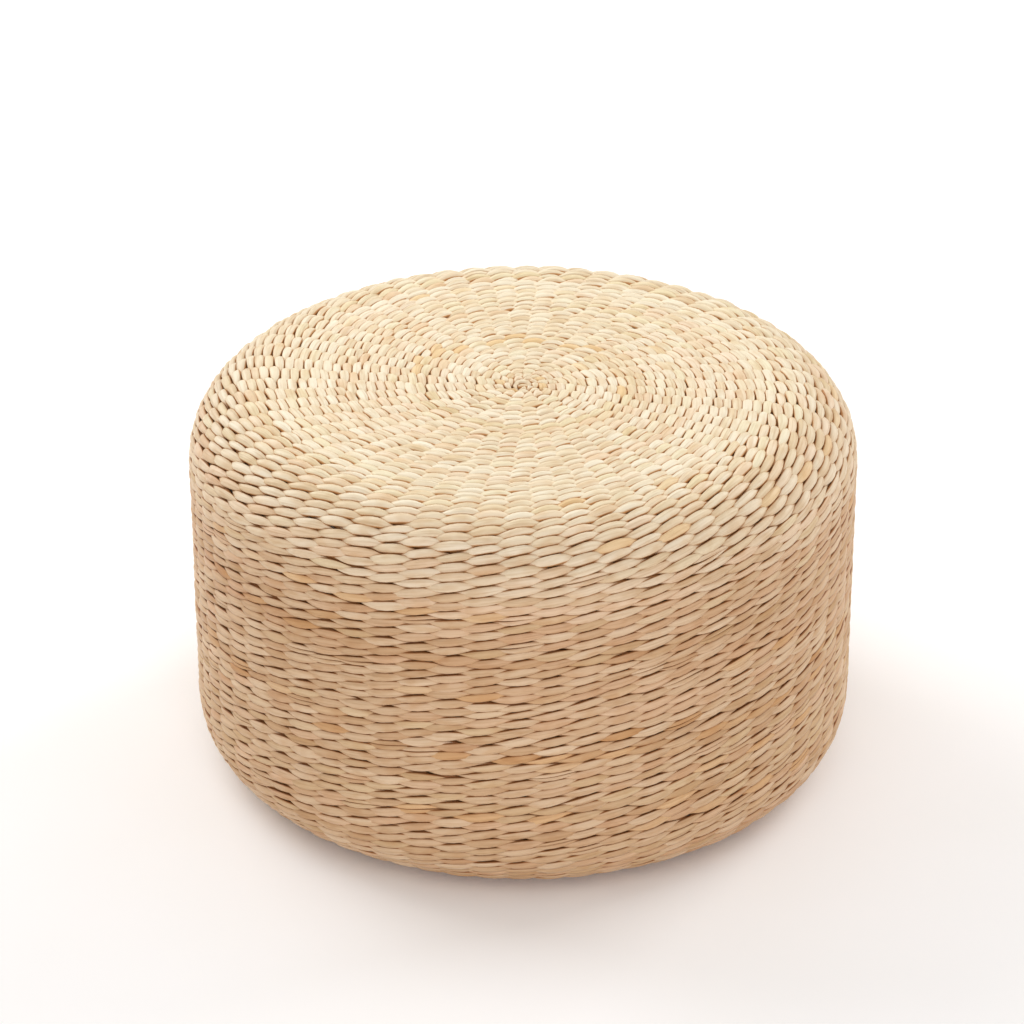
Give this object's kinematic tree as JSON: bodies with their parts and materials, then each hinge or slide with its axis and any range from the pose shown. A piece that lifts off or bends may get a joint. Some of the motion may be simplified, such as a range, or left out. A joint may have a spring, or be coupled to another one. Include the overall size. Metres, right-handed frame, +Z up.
{
  "type": "straw floor seat",
  "caption": "Round drum-shaped floor seat with a twined straw cover over straw stakes, packed with a soft pad on firm boards",
  "frame": {"origin": "centre of the resting face under the seat", "axes": "+Z up along the drum's axis, +X and +Y level; the drum looks the same from every side"},
  "size_m": [0.4, 0.4, 0.24],
  "materials": {
    "top_straw": "plump twined straw, cream, satin",
    "wall_straw": "flat twined straw, tan, satin",
    "stake_straw": "twisted straw, darker tan, matte",
    "liner_cloth": "tan non-woven cloth, matte",
    "soft_foam": "open-cell foam, matte",
    "firm_foam": "expanded foam board, matte"
  },
  "bodies": {
    "root": {"centre_knot": "top_straw", "top_weave": "top_straw", "shoulder_weave": "top_straw", "wall_weave": "wall_straw", "border_braid": "wall_straw", "base_weave": "wall_straw", "base_knot": "wall_straw", "long_stakes": "stake_straw", "added_stakes_1": "stake_straw", "added_stakes_2": "stake_straw", "added_stakes_3": "stake_straw", "added_stakes_4": "stake_straw", "base_stakes": "stake_straw", "liner": "liner_cloth", "seat_pad": "soft_foam", "core_board_1": "firm_foam", "core_board_2": "firm_foam", "core_board_3": "firm_foam"}
  },
  "joints": []
}
